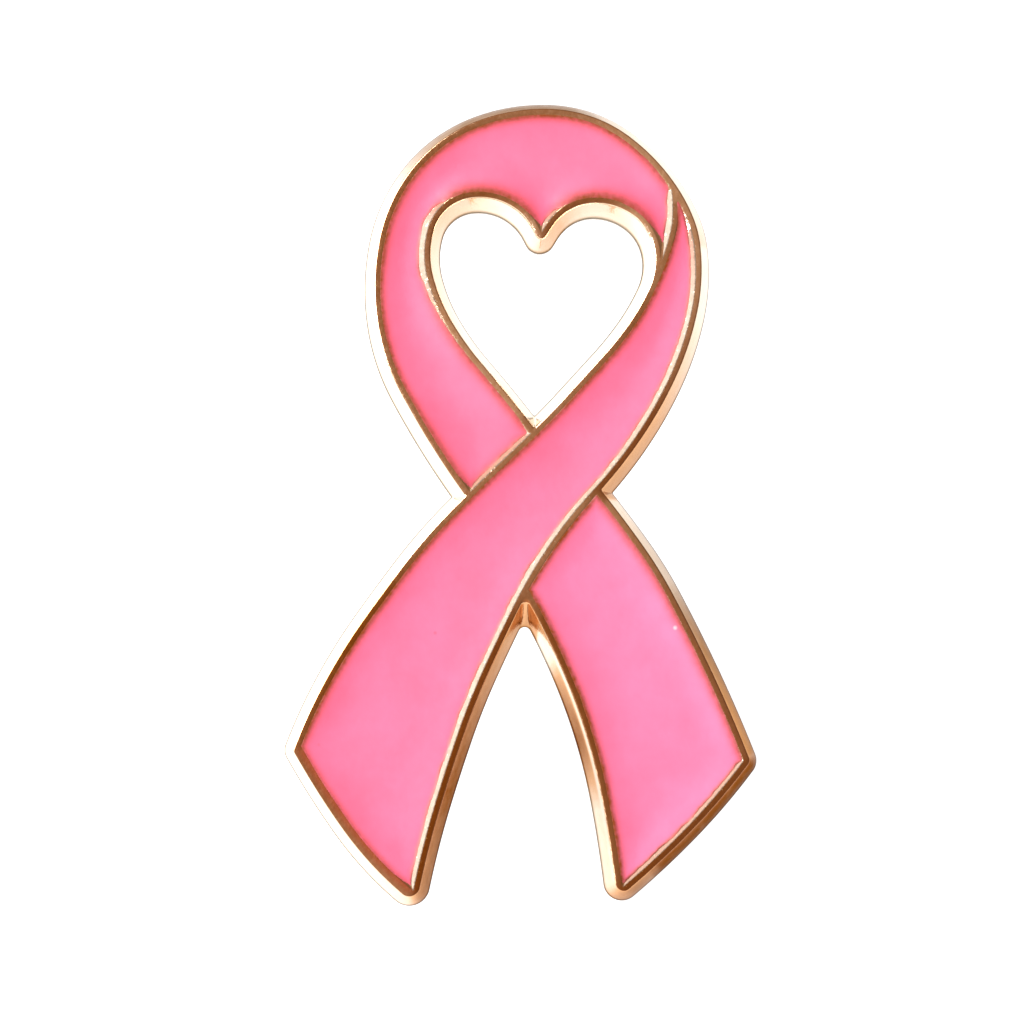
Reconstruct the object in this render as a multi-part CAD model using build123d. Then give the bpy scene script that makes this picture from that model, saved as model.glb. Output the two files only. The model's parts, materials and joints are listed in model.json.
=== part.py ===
from build123d import *
from collections import namedtuple
import math
import os

# An awareness ribbon lapel pin: one die-struck plate with raised lines round three sunk pools,
# a pool of enamel in each, and a plain tack post on the back.
#
# Everything is first drawn flat: x to the right, y up the ribbon, z towards the front,
# and z = 0 on top of the raised lines. At the end the pieces are leaned back to the pose in which
# the pin rests by itself, on the tips of its two tails and the point of its post.

# ---- driving sizes, mm ----------------------------------------------------------------------
THICKNESS = 1.40       # top of the raised lines to the flat back
EDGE_BAND = 0.35       # straight band round the back of every side wall
WALL_SPREAD = 0.355    # how far the side walls spread outwards from the raised line to the band
LINE_TOP = 0.150       # flat top of a raised line
LINE_TOP_TAIL = 0.250  # the same at the end of the front tail, where it is broader
SLOPE_RUN = 0.140      # slope from a raised line down into a pool, seen from the front
SLOPE_DROP = 0.220     # depth at which that slope ends
POOL_DEPTH = 0.500     # floor of the pools under the raised lines
ENAMEL_TOP = 0.235     # enamel surface under the raised lines
GAP = 0.012            # clearance round each piece of enamel and round the post's pad

POST_X = 0.35          # the post stands behind the crossing of the tails
POST_Y = -0.15
PAD_RADIUS = 2.00
PAD_THICKNESS = 0.40
PAD_SEAT = 0.12        # depth of the shallow seat that the pad sits in
PAD_BEVEL = 0.06
SHAFT_RADIUS = 0.55
SHAFT_FILLET = 0.25
POST_LENGTH = 8.00     # flat back to the tip of the point
GROOVE_FROM_TIP = 3.10
GROOVE_WIDTH = 0.60
GROOVE_DEPTH = 0.12
POINT_ANGLE = 17.0     # half angle of the point
POINT_RADIUS = 0.12    # rounded end of the point

# ---- the raised lines, as stations on their outer edge ----------------------------------------
# heading is the direction of travel in degrees, anticlockwise from +x. Two tangent arcs join each
# station to the next one.
Station = namedtuple("Station", "x y heading")

LOOP = [  # outside of the loop, from the left waist over the top to the fold
    Station(-2.40, 1.39, 123.3),
    Station(-4.46, 5.95, 97.5),
    Station(-3.34, 10.67, 51.7),
    Station(1.15, 12.57, -3.1),
    Station(5.14, 9.91, -58.8),
    Station(5.74, 8.25, -83.8),
]
FRONT_RIGHT = [  # right edge of the front band, from the fold down to the tip of the front tail
    Station(5.74, 8.25, -83.8),
    Station(4.89, 3.93, -115.4),
    Station(2.46, 0.36, -132.6),
    Station(-0.01, -3.24, -116.5),
    Station(-1.76, -7.24, -109.0),
    Station(-3.00, -11.44, -102.8),
]
FRONT_LEFT = [  # left edge of the front band, from the front tail up to the fold
    Station(-6.78, -7.09, 67.3),
    Station(-4.81, -3.57, 54.5),
    Station(-2.40, -0.50, 46.9),
    Station(0.40, 2.27, 43.8),
    Station(2.65, 4.66, 47.6),
    Station(4.16, 6.86, 65.1),
    Station(4.82, 8.67, 76.6),
    Station(4.90, 9.66, 92.0),
]
RIGHT_LOBE = [  # right lobe of the heart, from the front band to the cusp
    Station(4.16, 6.86, 65.1),
    Station(3.67, 9.22, 142.6),
    Station(1.28, 9.16, 224.5),
    Station(0.71, 8.34, 239.0),
]
LEFT_LOBE = [  # left lobe and left side of the heart, from the cusp down to the V
    Station(0.715, 8.33, 116.5),
    Station(0.19, 9.19, 133.6),
    Station(-2.72, 8.72, 254.5),
    Station(-2.12, 5.76, 300.7),
    Station(-0.13, 3.18, 308.5),
]
FRONT_END = [  # end of the front tail, from its tip to its upper corner
    Station(-4.05, -11.78, 136.6),
    Station(-6.71, -8.26, 120.7),
]
BACK_RIGHT = [  # outer edge of the back tail, from the right waist down
    Station(2.91, 0.03, -52.1),
    Station(4.83, -2.81, -62.0),
    Station(6.93, -7.25, -67.6),
]
BACK_END = [  # end of the back tail, from its upper corner to its tip
    Station(6.81, -8.63, -128.7),
    Station(3.91, -11.63, -138.7),
]
BACK_LEFT = [  # inner edge of the back tail, from its tip up to the notch
    Station(2.98, -11.15, 98.0),
    Station(2.21, -7.38, 106.6),
    Station(0.87, -4.03, 116.6),
]

# Corners where two of these edges cross: rough place, and radius of the rounded corner at the
# raised line (0 keeps it sharp).
Corner = namedtuple("Corner", "x y radius")
LEFT_WAIST = Corner(-1.66, 0.27, 0.0)
RIGHT_WAIST = Corner(2.57, 0.47, 0.0)
NOTCH = Corner(0.24, -2.75, 0.15)
NOTCH_FOOT = Corner(0.24, -3.54, 0.20)
FRONT_TIP = Corner(-3.25, -12.54, 0.30)
FRONT_CORNER = Corner(-7.00, -7.75, 0.14)
BACK_CORNER = Corner(7.20, -8.00, 0.20)
BACK_TIP = Corner(3.15, -12.25, 0.22)
HEART_V = Corner(0.52, 2.39, 0.0)
HEART_CUSP = Corner(0.71, 8.36, 0.14)
FOLD_TOP = Corner(4.90, 9.70, 0.0)
FOLD_FOOT = Corner(4.50, 7.90, 0.0)
FRONT_APEX = Corner(5.08, 8.80, 0.0)

# ---- arcs in the plane --------------------------------------------------------------------
# An arc runs from (x0, y0) to (x1, y1) about (cx, cy). A positive radius turns left.
Arc = namedtuple("Arc", "cx cy r x0 y0 x1 y1")


def arc_from(x, y, heading, x1, y1):
    """The arc that leaves (x, y) along heading (radians) and ends at (x1, y1), and its end heading."""
    dx, dy = x1 - x, y1 - y
    chord = math.hypot(dx, dy)
    half = (math.atan2(dy, dx) - heading + math.pi) % (2 * math.pi) - math.pi
    if abs(half) < 1e-4:
        half = 1e-4
    r = chord / (2 * math.sin(half))
    return Arc(x - r * math.sin(heading), y + r * math.cos(heading), r, x, y, x1, y1), heading + 2 * half


def arcs_through(stations):
    """Two tangent arcs between each pair of stations."""
    arcs = []
    for a, b in zip(stations[:-1], stations[1:]):
        ha, hb = math.radians(a.heading), math.radians(b.heading)
        ta, tb = (math.cos(ha), math.sin(ha)), (math.cos(hb), math.sin(hb))
        vx, vy = b.x - a.x, b.y - a.y
        vt = vx * (ta[0] + tb[0]) + vy * (ta[1] + tb[1])
        vv = vx * vx + vy * vy
        den = 2 * (1 - (ta[0] * tb[0] + ta[1] * tb[1]))
        d = (math.sqrt(vt * vt + den * vv) - vt) / den if den > 1e-9 else vv / (2 * vt)
        mx = (a.x + b.x + d * (ta[0] - tb[0])) / 2
        my = (a.y + b.y + d * (ta[1] - tb[1])) / 2
        first, hm = arc_from(a.x, a.y, ha, mx, my)
        second, _ = arc_from(mx, my, hm, b.x, b.y)
        arcs += [first, second]
    return arcs


def shifted(arcs, d):
    """The same arcs moved d to the left of their direction of travel."""
    return [
        Arc(
            a.cx, a.cy, a.r - d,
            a.x0 + d * (a.cx - a.x0) / a.r, a.y0 + d * (a.cy - a.y0) / a.r,
            a.x1 + d * (a.cx - a.x1) / a.r, a.y1 + d * (a.cy - a.y1) / a.r,
        )
        for a in arcs
    ]


def turned_back(arcs):
    return [Arc(a.cx, a.cy, -a.r, a.x1, a.y1, a.x0, a.y0) for a in reversed(arcs)]


def sweep(a, x, y):
    """Angle from the arc's start to the point (x, y), along the direction of travel, in -pi to pi."""
    turn = math.atan2(y - a.cy, x - a.cx) - math.atan2(a.y0 - a.cy, a.x0 - a.cx)
    turn = turn if a.r > 0 else -turn
    return (turn + math.pi) % (2 * math.pi) - math.pi


def full_sweep(a):
    turn = sweep(a, a.x1, a.y1)
    return turn if turn >= 0 else turn + 2 * math.pi


def crossing(a, b, x, y):
    """The point where the circles of two arcs cross, the nearer one to (x, y)."""
    dx, dy = b.cx - a.cx, b.cy - a.cy
    dist = math.hypot(dx, dy)
    along = (dist * dist + a.r * a.r - b.r * b.r) / (2 * dist)
    square = a.r * a.r - along * along
    if square < 0:
        return None
    off = math.sqrt(square)
    ux, uy = dx / dist, dy / dist
    found = [(a.cx + along * ux - s * off * uy, a.cy + along * uy + s * off * ux) for s in (1, -1)]
    return min(found, key=lambda p: math.hypot(p[0] - x, p[1] - y))


def reaches(a, point, is_first, is_last):
    at, end = sweep(a, *point), full_sweep(a)
    slack = 2.5 / abs(a.r)
    return (at > -1e-6 or (is_first and at > -slack)) and (at < end + 1e-6 or (is_last and at < end + slack))


def closed_loop(chains, corners):
    """Joins chains of arcs into one closed loop. corners[k] is where chain k meets the next chain.
    Gives the arcs, and for each arc whether it starts at a sharp corner."""
    count = len(chains)
    last_used, first_used, point_at = {}, {}, {}
    for k in range(count):
        one, two = chains[k], chains[(k + 1) % count]
        best = None
        for i, a in enumerate(one):
            for j, b in enumerate(two):
                p = crossing(a, b, corners[k].x, corners[k].y)
                if p is None or not reaches(a, p, i == 0, i == len(one) - 1):
                    continue
                if not reaches(b, p, j == 0, j == len(two) - 1):
                    continue
                far = math.hypot(p[0] - corners[k].x, p[1] - corners[k].y)
                if best is None or far < best[0]:
                    best = (far, i, j, p)
        assert best is not None and best[0] < 1.0, ("edges do not meet", k, best)
        _, last_used[k], first_used[(k + 1) % count], point_at[k] = best
    arcs, sharp = [], []
    for k in range(count):
        part = chains[k][first_used[k] : last_used[k] + 1]
        start, end = point_at[(k - 1) % count], point_at[k]
        part[0] = part[0]._replace(x0=start[0], y0=start[1])
        part[-1] = part[-1]._replace(x1=end[0], y1=end[1])
        arcs += part
        sharp += [True] + [False] * (len(part) - 1)
    return arcs, sharp


def rounded(loop, corner):
    """Rounds the sharp corner of the loop that is nearest to the given one."""
    arcs, sharp = loop
    k = min(
        (i for i in range(len(arcs)) if sharp[i]),
        key=lambda i: math.hypot(arcs[i].x0 - corner.x, arcs[i].y0 - corner.y),
    )
    a, b = arcs[k - 1], arcs[k]
    nax, nay = (a.cx - a.x1) / a.r, (a.cy - a.y1) / a.r
    nbx, nby = (b.cx - b.x0) / b.r, (b.cy - b.y0) / b.r
    left = nax * nby - nay * nbx > 0
    r = corner.radius if left else -corner.radius
    moved_a, moved_b = shifted([a, b], r)
    cx, cy = crossing(moved_a, moved_b, b.x0 + r * (nax + nbx) / 2, b.y0 + r * (nay + nby) / 2)

    def foot(arc):
        away = math.hypot(cx - arc.cx, cy - arc.cy)
        return arc.cx + (cx - arc.cx) * abs(arc.r) / away, arc.cy + (cy - arc.cy) * abs(arc.r) / away

    pa, pb = foot(a), foot(b)
    bend = Arc(cx, cy, r, pa[0], pa[1], pb[0], pb[1])
    out_arcs, out_sharp = list(arcs), list(sharp)
    out_arcs[k - 1] = a._replace(x1=pa[0], y1=pa[1])
    out_arcs[k] = b._replace(x0=pb[0], y0=pb[1])
    out_sharp[k] = False
    place = k if k > 0 else len(out_arcs)
    out_arcs.insert(place, bend)
    out_sharp.insert(place, False)
    return (out_arcs, out_sharp), bend


def offset_loop(loop, d):
    """The loop moved d to the left of its direction of travel, with the same number of arcs."""
    arcs, sharp = loop
    moved = shifted(arcs, d)
    for k in range(len(arcs)):
        if sharp[k]:
            p = crossing(moved[k - 1], moved[k], (moved[k].x0 + moved[k - 1].x1) / 2, (moved[k].y0 + moved[k - 1].y1) / 2)
            moved[k - 1] = moved[k - 1]._replace(x1=p[0], y1=p[1])
            moved[k] = moved[k]._replace(x0=p[0], y0=p[1])
    for a in moved:
        assert full_sweep(a) < math.radians(200), ("an arc has vanished", d, a)
    return moved, sharp


def wire_at(loop, z):
    edges = []
    for a in loop[0]:
        turn = full_sweep(a) / 2 * (1 if a.r > 0 else -1)
        sx, sy = a.x0 - a.cx, a.y0 - a.cy
        mx = a.cx + sx * math.cos(turn) - sy * math.sin(turn)
        my = a.cy + sx * math.sin(turn) + sy * math.cos(turn)
        if abs(a.r) > 300:
            edges.append(Edge.make_line((a.x0, a.y0, z), (a.x1, a.y1, z)))
        else:
            edges.append(Edge.make_three_point_arc((a.x0, a.y0, z), (mx, my, z), (a.x1, a.y1, z)))
    return Wire(edges)


def tapered(levels):
    """A solid through loops of equal count, given as (loop, z) from front to back."""
    return Solid.make_loft([wire_at(loop, z) for loop, z in levels], ruled=True)


# ---- the edges, then the closed outlines ----------------------------------------------------
loop_edge = arcs_through(LOOP)
front_right = arcs_through(FRONT_RIGHT)
front_left = arcs_through(FRONT_LEFT)
right_lobe = arcs_through(RIGHT_LOBE)
left_lobe = arcs_through(LEFT_LOBE)
front_end = arcs_through(FRONT_END)
back_right = arcs_through(BACK_RIGHT)
back_end = arcs_through(BACK_END)
back_left = arcs_through(BACK_LEFT)

# The metal lies to the right of every edge, so a positive offset is outwards, away from the metal.
# Each outline is closed at the level where it is narrowest, so that all its arcs are there at
# every other level.
WALL = WALL_SPREAD
outer_foot = closed_loop(
    [
        shifted(loop_edge + front_right[:4], WALL), shifted(back_right, WALL), shifted(back_end, WALL),
        shifted(back_left, WALL), shifted(front_right[4:], WALL), shifted(front_end, WALL), shifted(front_left[:4], WALL),
    ],
    [RIGHT_WAIST, BACK_CORNER, BACK_TIP, NOTCH, FRONT_TIP, FRONT_CORNER, LEFT_WAIST],
)
outer_top = offset_loop(outer_foot, -WALL)
tip_bends = {}
for name, corner in (("front", FRONT_TIP), ("front_corner", FRONT_CORNER), ("back_corner", BACK_CORNER), ("back", BACK_TIP)):
    outer_top, tip_bends[name] = rounded(outer_top, corner)
outer_foot, _ = rounded(offset_loop(outer_top, WALL), NOTCH_FOOT)
outer_top, _ = rounded(outer_top, NOTCH)

heart_side = front_left[6:10]  # the front band's edge between the V and the right lobe
heart_top = closed_loop([heart_side + right_lobe, left_lobe], [HEART_CUSP, HEART_V])
heart_top, _ = rounded(heart_top, HEART_CUSP)
heart_foot = offset_loop(heart_top, WALL)

# The pools, closed where the slopes end. A pool lies to the right of its edges too, and its edge
# on a line that it shares with the next pool is that line's far side.
IN = LINE_TOP + SLOPE_RUN
loop_pool = closed_loop(
    [
        shifted(loop_edge, -IN), shifted(turned_back(front_left[10:]), -SLOPE_RUN), shifted(right_lobe, -IN),
        shifted(left_lobe, -IN), shifted(turned_back(front_left[:8]), -SLOPE_RUN),
    ],
    [FOLD_TOP, FOLD_FOOT, HEART_CUSP, HEART_V, LEFT_WAIST],
)
INSET = 0.06  # this pool ends in a narrow point at the fold: closed this much further in, then moved out
front_pool = closed_loop(
    [
        shifted(loop_edge[8:] + front_right, -(IN + INSET)), shifted(front_end, -(LINE_TOP_TAIL + SLOPE_RUN + INSET)),
        shifted(front_left, -(IN + INSET)),
    ],
    [FRONT_TIP, FRONT_CORNER, FRONT_APEX],
)
front_pool = offset_loop(front_pool, INSET)
back_pool = closed_loop(
    [
        shifted(back_right, -IN), shifted(back_end, -IN), shifted(back_left, -IN),
        shifted(turned_back(front_right[2:6]), -SLOPE_RUN),
    ],
    [BACK_CORNER, BACK_TIP, NOTCH, RIGHT_WAIST],
)
pools = {"enamel_loop": loop_pool, "enamel_front_tail": front_pool, "enamel_back_tail": back_pool}

# ---- the solids, flat ------------------------------------------------------------------------
band_top = -(THICKNESS - EDGE_BAND)
base = tapered([(outer_top, 0.0), (outer_foot, band_top), (outer_foot, -THICKNESS)])
base -= tapered([(heart_top, 0.4), (heart_top, 0.0), (heart_foot, band_top), (heart_foot, -THICKNESS - 0.4)])
enamel = {}
for name, pool in pools.items():
    rim = offset_loop(pool, SLOPE_RUN)
    base -= tapered([(rim, 0.3), (rim, 0.0), (pool, -SLOPE_DROP), (pool, -POOL_DEPTH)])
    fill = offset_loop(pool, -GAP)
    enamel[name] = extrude(Face(wire_at(fill, -POOL_DEPTH + GAP)), POOL_DEPTH - GAP - ENAMEL_TOP, dir=(0, 0, 1))

back = Location((POST_X, POST_Y, -THICKNESS))
base -= back * Cylinder(PAD_RADIUS + GAP, 2 * PAD_SEAT)

# The post, as a half section: radius, and height down from the front of its pad.
pad_front = PAD_SEAT - GAP
s_tip = POST_LENGTH + pad_front
s_ball = s_tip - POINT_RADIUS
point = math.radians(POINT_ANGLE)
s_point_end = s_ball + POINT_RADIUS * math.sin(point)
s_point = s_point_end - (SHAFT_RADIUS - POINT_RADIUS * math.cos(point)) / math.tan(point)
s_groove = s_tip - GROOVE_FROM_TIP
half = [
    Line((0, 0), (PAD_RADIUS, 0)),
    Line((PAD_RADIUS, 0), (PAD_RADIUS, -(PAD_THICKNESS - PAD_BEVEL))),
    Line((PAD_RADIUS, -(PAD_THICKNESS - PAD_BEVEL)), (PAD_RADIUS - PAD_BEVEL, -PAD_THICKNESS)),
    Line((PAD_RADIUS - PAD_BEVEL, -PAD_THICKNESS), (SHAFT_RADIUS + SHAFT_FILLET, -PAD_THICKNESS)),
    TangentArc((SHAFT_RADIUS + SHAFT_FILLET, -PAD_THICKNESS), (SHAFT_RADIUS, -PAD_THICKNESS - SHAFT_FILLET), tangent=(-1, 0)),
    Line((SHAFT_RADIUS, -PAD_THICKNESS - SHAFT_FILLET), (SHAFT_RADIUS, -s_groove)),
    ThreePointArc(
        (SHAFT_RADIUS, -s_groove), (SHAFT_RADIUS - GROOVE_DEPTH, -s_groove - GROOVE_WIDTH / 2),
        (SHAFT_RADIUS, -s_groove - GROOVE_WIDTH),
    ),
    Line((SHAFT_RADIUS, -s_groove - GROOVE_WIDTH), (SHAFT_RADIUS, -s_point)),
    Line((SHAFT_RADIUS, -s_point), (POINT_RADIUS * math.cos(point), -s_point_end)),
    TangentArc((POINT_RADIUS * math.cos(point), -s_point_end), (0, -s_tip), tangent=(-math.sin(point), -math.cos(point))),
    Line((0, -s_tip), (0, 0)),
]
post = revolve(Plane.XZ * make_face(half), Axis.Z)
post = Location((POST_X, POST_Y, -THICKNESS + pad_front)) * post

# ---- the pose at rest ------------------------------------------------------------------------
# The floor touches the back edge at both tails' tips (round corners in the back plane) and the
# ball at the end of the post's point.
ball_one, ball_two = tip_bends["front"], tip_bends["back"]
r_one, r_two = abs(ball_one.r) + WALL, abs(ball_two.r) + WALL
sx, sy = ball_two.cx - ball_one.cx, ball_two.cy - ball_one.cy
span = math.hypot(sx, sy)
lean = math.acos((r_two - r_one) / span)
ux = (sx * math.cos(lean) - sy * math.sin(lean)) / span  # in the plate, square to the tips' line
uy = (sx * math.sin(lean) + sy * math.cos(lean)) / span
foot_line = ux * ball_one.cx + uy * ball_one.cy - r_one
reach = ux * POST_X + uy * POST_Y - foot_line
depth = POST_LENGTH - POINT_RADIUS
tilt = math.atan2(depth, reach) + math.asin(POINT_RADIUS / math.hypot(reach, depth))
normal = Vector(ux * math.sin(tilt), uy * math.sin(tilt), math.cos(tilt))
ahead = (Vector(0, 1, 0) - normal * normal.Y).normalized()
floor = Plane(
    origin=(ux * foot_line, uy * foot_line, -THICKNESS),
    x_dir=ahead.cross(normal),
    z_dir=normal,
)

nodes = {"base": base, **enamel, "post": post}
placed = {name: shape.moved(floor.location.inverse()) for name, shape in nodes.items()}
box = Compound(children=[s for shape in placed.values() for s in shape.solids()]).bounding_box()
centre = Location((-(box.min.X + box.max.X) / 2, -(box.min.Y + box.max.Y) / 2, 0))

os.makedirs("parts", exist_ok=True)
for name, shape in placed.items():
    solid = shape.moved(centre).solids()
    assert len(solid) == 1, (name, len(solid))
    export_step(solid[0], "parts/" + name + ".step")
    print(name, round(solid[0].volume, 3), "mm3")
print("tilt", round(math.degrees(tilt), 3), "size", [round(v, 3) for v in (box.size.X, box.size.Y, box.size.Z)])
plate = base.bounding_box()
print("plate alone", round(plate.size.X, 3), "by", round(plate.size.Y, 3), "by", round(plate.size.Z, 3))
for what, along in (("post root", 0), ("shaft from", PAD_THICKNESS - pad_front + SHAFT_FILLET), ("shaft to", s_groove - pad_front), ("post tip", POST_LENGTH)):
    at = floor.to_local_coords(Vector(POST_X, POST_Y, -THICKNESS - along)) + Vector(*centre.position)
    print(what, [round(v, 5) for v in at])
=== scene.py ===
import json
import math

import bmesh
import bpy
import numpy as np
from collections import namedtuple
from mathutils import Matrix, Vector, geometry, kdtree, noise


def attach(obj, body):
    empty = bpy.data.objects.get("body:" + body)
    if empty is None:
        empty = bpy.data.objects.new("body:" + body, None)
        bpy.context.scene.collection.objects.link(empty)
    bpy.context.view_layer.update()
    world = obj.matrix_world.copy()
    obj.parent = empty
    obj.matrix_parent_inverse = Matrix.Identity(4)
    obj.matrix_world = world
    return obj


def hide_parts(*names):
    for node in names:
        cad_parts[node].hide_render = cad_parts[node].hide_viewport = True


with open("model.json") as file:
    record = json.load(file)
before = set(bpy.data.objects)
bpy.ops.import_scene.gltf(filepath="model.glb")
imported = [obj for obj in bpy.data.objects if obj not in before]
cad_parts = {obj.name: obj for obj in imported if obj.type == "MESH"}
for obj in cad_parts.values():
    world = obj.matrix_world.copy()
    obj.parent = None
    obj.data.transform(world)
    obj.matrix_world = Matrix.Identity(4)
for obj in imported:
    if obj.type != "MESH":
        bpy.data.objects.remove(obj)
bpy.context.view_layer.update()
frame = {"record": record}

# ---- sizes of the pin, mm, as in its CAD ---------------------------------------------------------
THICKNESS = 1.40
EDGE_BAND = 0.35
WALL_SPREAD = 0.355
LINE_TOP = 0.150
LINE_TOP_TAIL = 0.250
SLOPE_RUN = 0.140
POOL_DEPTH = 0.500
GAP = 0.012
POST_X = 0.35
POST_Y = -0.15
PAD_RADIUS = 2.00
PAD_THICKNESS = 0.40
PAD_SEAT = 0.12
PAD_BEVEL = 0.06
SHAFT_RADIUS = 0.55
SHAFT_FILLET = 0.25
POST_LENGTH = 8.00
GROOVE_FROM_TIP = 3.10
GROOVE_WIDTH = 0.60
GROOVE_DEPTH = 0.12
POINT_ANGLE = 17.0
POINT_RADIUS = 0.12

Station = namedtuple("Station", "x y heading")
Corner = namedtuple("Corner", "x y radius")
Arc = namedtuple("Arc", "cx cy r x0 y0 x1 y1")

LOOP = [
    Station(-2.40, 1.39, 123.3),
    Station(-4.46, 5.95, 97.5),
    Station(-3.34, 10.67, 51.7),
    Station(1.15, 12.57, -3.1),
    Station(5.14, 9.91, -58.8),
    Station(5.74, 8.25, -83.8),
]
FRONT_RIGHT = [
    Station(5.74, 8.25, -83.8),
    Station(4.89, 3.93, -115.4),
    Station(2.46, 0.36, -132.6),
    Station(-0.01, -3.24, -116.5),
    Station(-1.76, -7.24, -109.0),
    Station(-3.00, -11.44, -102.8),
]
FRONT_LEFT = [
    Station(-6.78, -7.09, 67.3),
    Station(-4.81, -3.57, 54.5),
    Station(-2.40, -0.50, 46.9),
    Station(0.40, 2.27, 43.8),
    Station(2.65, 4.66, 47.6),
    Station(4.16, 6.86, 65.1),
    Station(4.82, 8.67, 76.6),
    Station(4.90, 9.66, 92.0),
]
RIGHT_LOBE = [
    Station(4.16, 6.86, 65.1),
    Station(3.67, 9.22, 142.6),
    Station(1.28, 9.16, 224.5),
    Station(0.71, 8.34, 239.0),
]
LEFT_LOBE = [
    Station(0.715, 8.33, 116.5),
    Station(0.19, 9.19, 133.6),
    Station(-2.72, 8.72, 254.5),
    Station(-2.12, 5.76, 300.7),
    Station(-0.13, 3.18, 308.5),
]
FRONT_END = [
    Station(-4.05, -11.78, 136.6),
    Station(-6.71, -8.26, 120.7),
]
BACK_RIGHT = [
    Station(2.91, 0.03, -52.1),
    Station(4.83, -2.81, -62.0),
    Station(6.93, -7.25, -67.6),
]
BACK_END = [
    Station(6.81, -8.63, -128.7),
    Station(3.91, -11.63, -138.7),
]
BACK_LEFT = [
    Station(2.98, -11.15, 98.0),
    Station(2.21, -7.38, 106.6),
    Station(0.87, -4.03, 116.6),
]
LEFT_WAIST = Corner(-1.66, 0.27, 0.05)
RIGHT_WAIST = Corner(2.57, 0.47, 0.05)
NOTCH = Corner(0.24, -2.75, 0.15)
FRONT_TIP = Corner(-3.25, -12.54, 0.30)
FRONT_CORNER = Corner(-7.00, -7.75, 0.14)
BACK_CORNER = Corner(7.20, -8.00, 0.20)
BACK_TIP = Corner(3.15, -12.25, 0.22)
HEART_V = Corner(0.52, 2.39, 0.06)
HEART_CUSP = Corner(0.71, 8.36, 0.14)
FOLD_TOP = Corner(4.90, 9.70, 0.0)
FOLD_FOOT = Corner(4.50, 7.90, 0.0)
FRONT_APEX = Corner(5.08, 8.80, 0.0)


# ---- arcs in the plane ---------------------------------------------------------------------------
def arc_from(x, y, heading, x1, y1):
    dx, dy = x1 - x, y1 - y
    chord = math.hypot(dx, dy)
    half = (math.atan2(dy, dx) - heading + math.pi) % (2 * math.pi) - math.pi
    if abs(half) < 1e-4:
        half = 1e-4
    r = chord / (2 * math.sin(half))
    return Arc(x - r * math.sin(heading), y + r * math.cos(heading), r, x, y, x1, y1), heading + 2 * half


def arcs_through(stations):
    arcs = []
    for a, b in zip(stations[:-1], stations[1:]):
        ha, hb = math.radians(a.heading), math.radians(b.heading)
        ta, tb = (math.cos(ha), math.sin(ha)), (math.cos(hb), math.sin(hb))
        vx, vy = b.x - a.x, b.y - a.y
        vt = vx * (ta[0] + tb[0]) + vy * (ta[1] + tb[1])
        vv = vx * vx + vy * vy
        den = 2 * (1 - (ta[0] * tb[0] + ta[1] * tb[1]))
        d = (math.sqrt(vt * vt + den * vv) - vt) / den if den > 1e-9 else vv / (2 * vt)
        mx = (a.x + b.x + d * (ta[0] - tb[0])) / 2
        my = (a.y + b.y + d * (ta[1] - tb[1])) / 2
        first, hm = arc_from(a.x, a.y, ha, mx, my)
        second, _ = arc_from(mx, my, hm, b.x, b.y)
        arcs += [first, second]
    return arcs


def shifted(arcs, d):
    return [
        Arc(
            a.cx, a.cy, a.r - d,
            a.x0 + d * (a.cx - a.x0) / a.r, a.y0 + d * (a.cy - a.y0) / a.r,
            a.x1 + d * (a.cx - a.x1) / a.r, a.y1 + d * (a.cy - a.y1) / a.r,
        )
        for a in arcs
    ]


def turned_back(arcs):
    return [Arc(a.cx, a.cy, -a.r, a.x1, a.y1, a.x0, a.y0) for a in reversed(arcs)]


def sweep(a, x, y):
    turn = math.atan2(y - a.cy, x - a.cx) - math.atan2(a.y0 - a.cy, a.x0 - a.cx)
    turn = turn if a.r > 0 else -turn
    return (turn + math.pi) % (2 * math.pi) - math.pi


def full_sweep(a):
    turn = sweep(a, a.x1, a.y1)
    return turn if turn >= 0 else turn + 2 * math.pi


def crossing(a, b, x, y):
    dx, dy = b.cx - a.cx, b.cy - a.cy
    dist = math.hypot(dx, dy)
    along = (dist * dist + a.r * a.r - b.r * b.r) / (2 * dist)
    square = a.r * a.r - along * along
    if square < 0:
        return None
    off = math.sqrt(square)
    ux, uy = dx / dist, dy / dist
    found = [(a.cx + along * ux - s * off * uy, a.cy + along * uy + s * off * ux) for s in (1, -1)]
    return min(found, key=lambda p: math.hypot(p[0] - x, p[1] - y))


def reaches(a, point, is_first, is_last):
    at, end = sweep(a, *point), full_sweep(a)
    slack = 2.5 / abs(a.r)
    return (at > -1e-6 or (is_first and at > -slack)) and (at < end + 1e-6 or (is_last and at < end + slack))


def closed_loop(chains, corners):
    count = len(chains)
    last_used, first_used, point_at = {}, {}, {}
    for k in range(count):
        one, two = chains[k], chains[(k + 1) % count]
        best = None
        for i, a in enumerate(one):
            for j, b in enumerate(two):
                p = crossing(a, b, corners[k].x, corners[k].y)
                if p is None or not reaches(a, p, i == 0, i == len(one) - 1):
                    continue
                if not reaches(b, p, j == 0, j == len(two) - 1):
                    continue
                far = math.hypot(p[0] - corners[k].x, p[1] - corners[k].y)
                if best is None or far < best[0]:
                    best = (far, i, j, p)
        assert best is not None and best[0] < 1.0, ("edges do not meet", k, best)
        _, last_used[k], first_used[(k + 1) % count], point_at[k] = best
    arcs, sharp = [], []
    for k in range(count):
        part = chains[k][first_used[k] : last_used[k] + 1]
        start, end = point_at[(k - 1) % count], point_at[k]
        part[0] = part[0]._replace(x0=start[0], y0=start[1])
        part[-1] = part[-1]._replace(x1=end[0], y1=end[1])
        arcs += part
        sharp += [True] + [False] * (len(part) - 1)
    return arcs, sharp


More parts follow.
